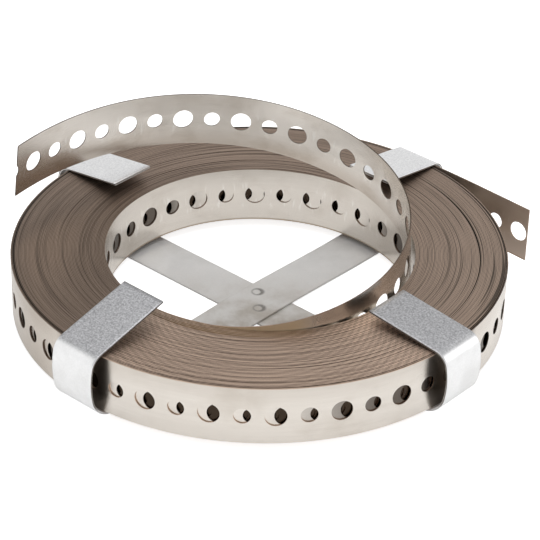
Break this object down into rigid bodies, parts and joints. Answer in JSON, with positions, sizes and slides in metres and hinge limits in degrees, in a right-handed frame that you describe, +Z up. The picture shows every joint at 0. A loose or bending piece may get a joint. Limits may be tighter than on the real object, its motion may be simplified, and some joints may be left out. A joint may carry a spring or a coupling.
{
  "type": "perforated steel strap coil",
  "caption": "Coil of perforated steel strap wound on edge, its inner end sprung up out of the bore, held by two crossed steel strips bent over its rim.",
  "frame": {"origin": "on the coil's axis, in the plane of the floor that the holder strips lie on", "axes": "+Z up along the coil's axis, +X and +Y along the lower and the upper holder strip"},
  "size_m": [0.1734, 0.1741, 0.054],
  "materials": {
    "strap_steel": "warm grey cold-rolled strip, satin, with brown cut edges",
    "galvanised_steel": "hot-dip galvanised with a fine spangle, softly shiny"
  },
  "bodies": {
    "root": {"perforated_strap": "strap_steel", "lower_holder_strip": "galvanised_steel", "upper_holder_strip": "galvanised_steel"}
  },
  "joints": []
}
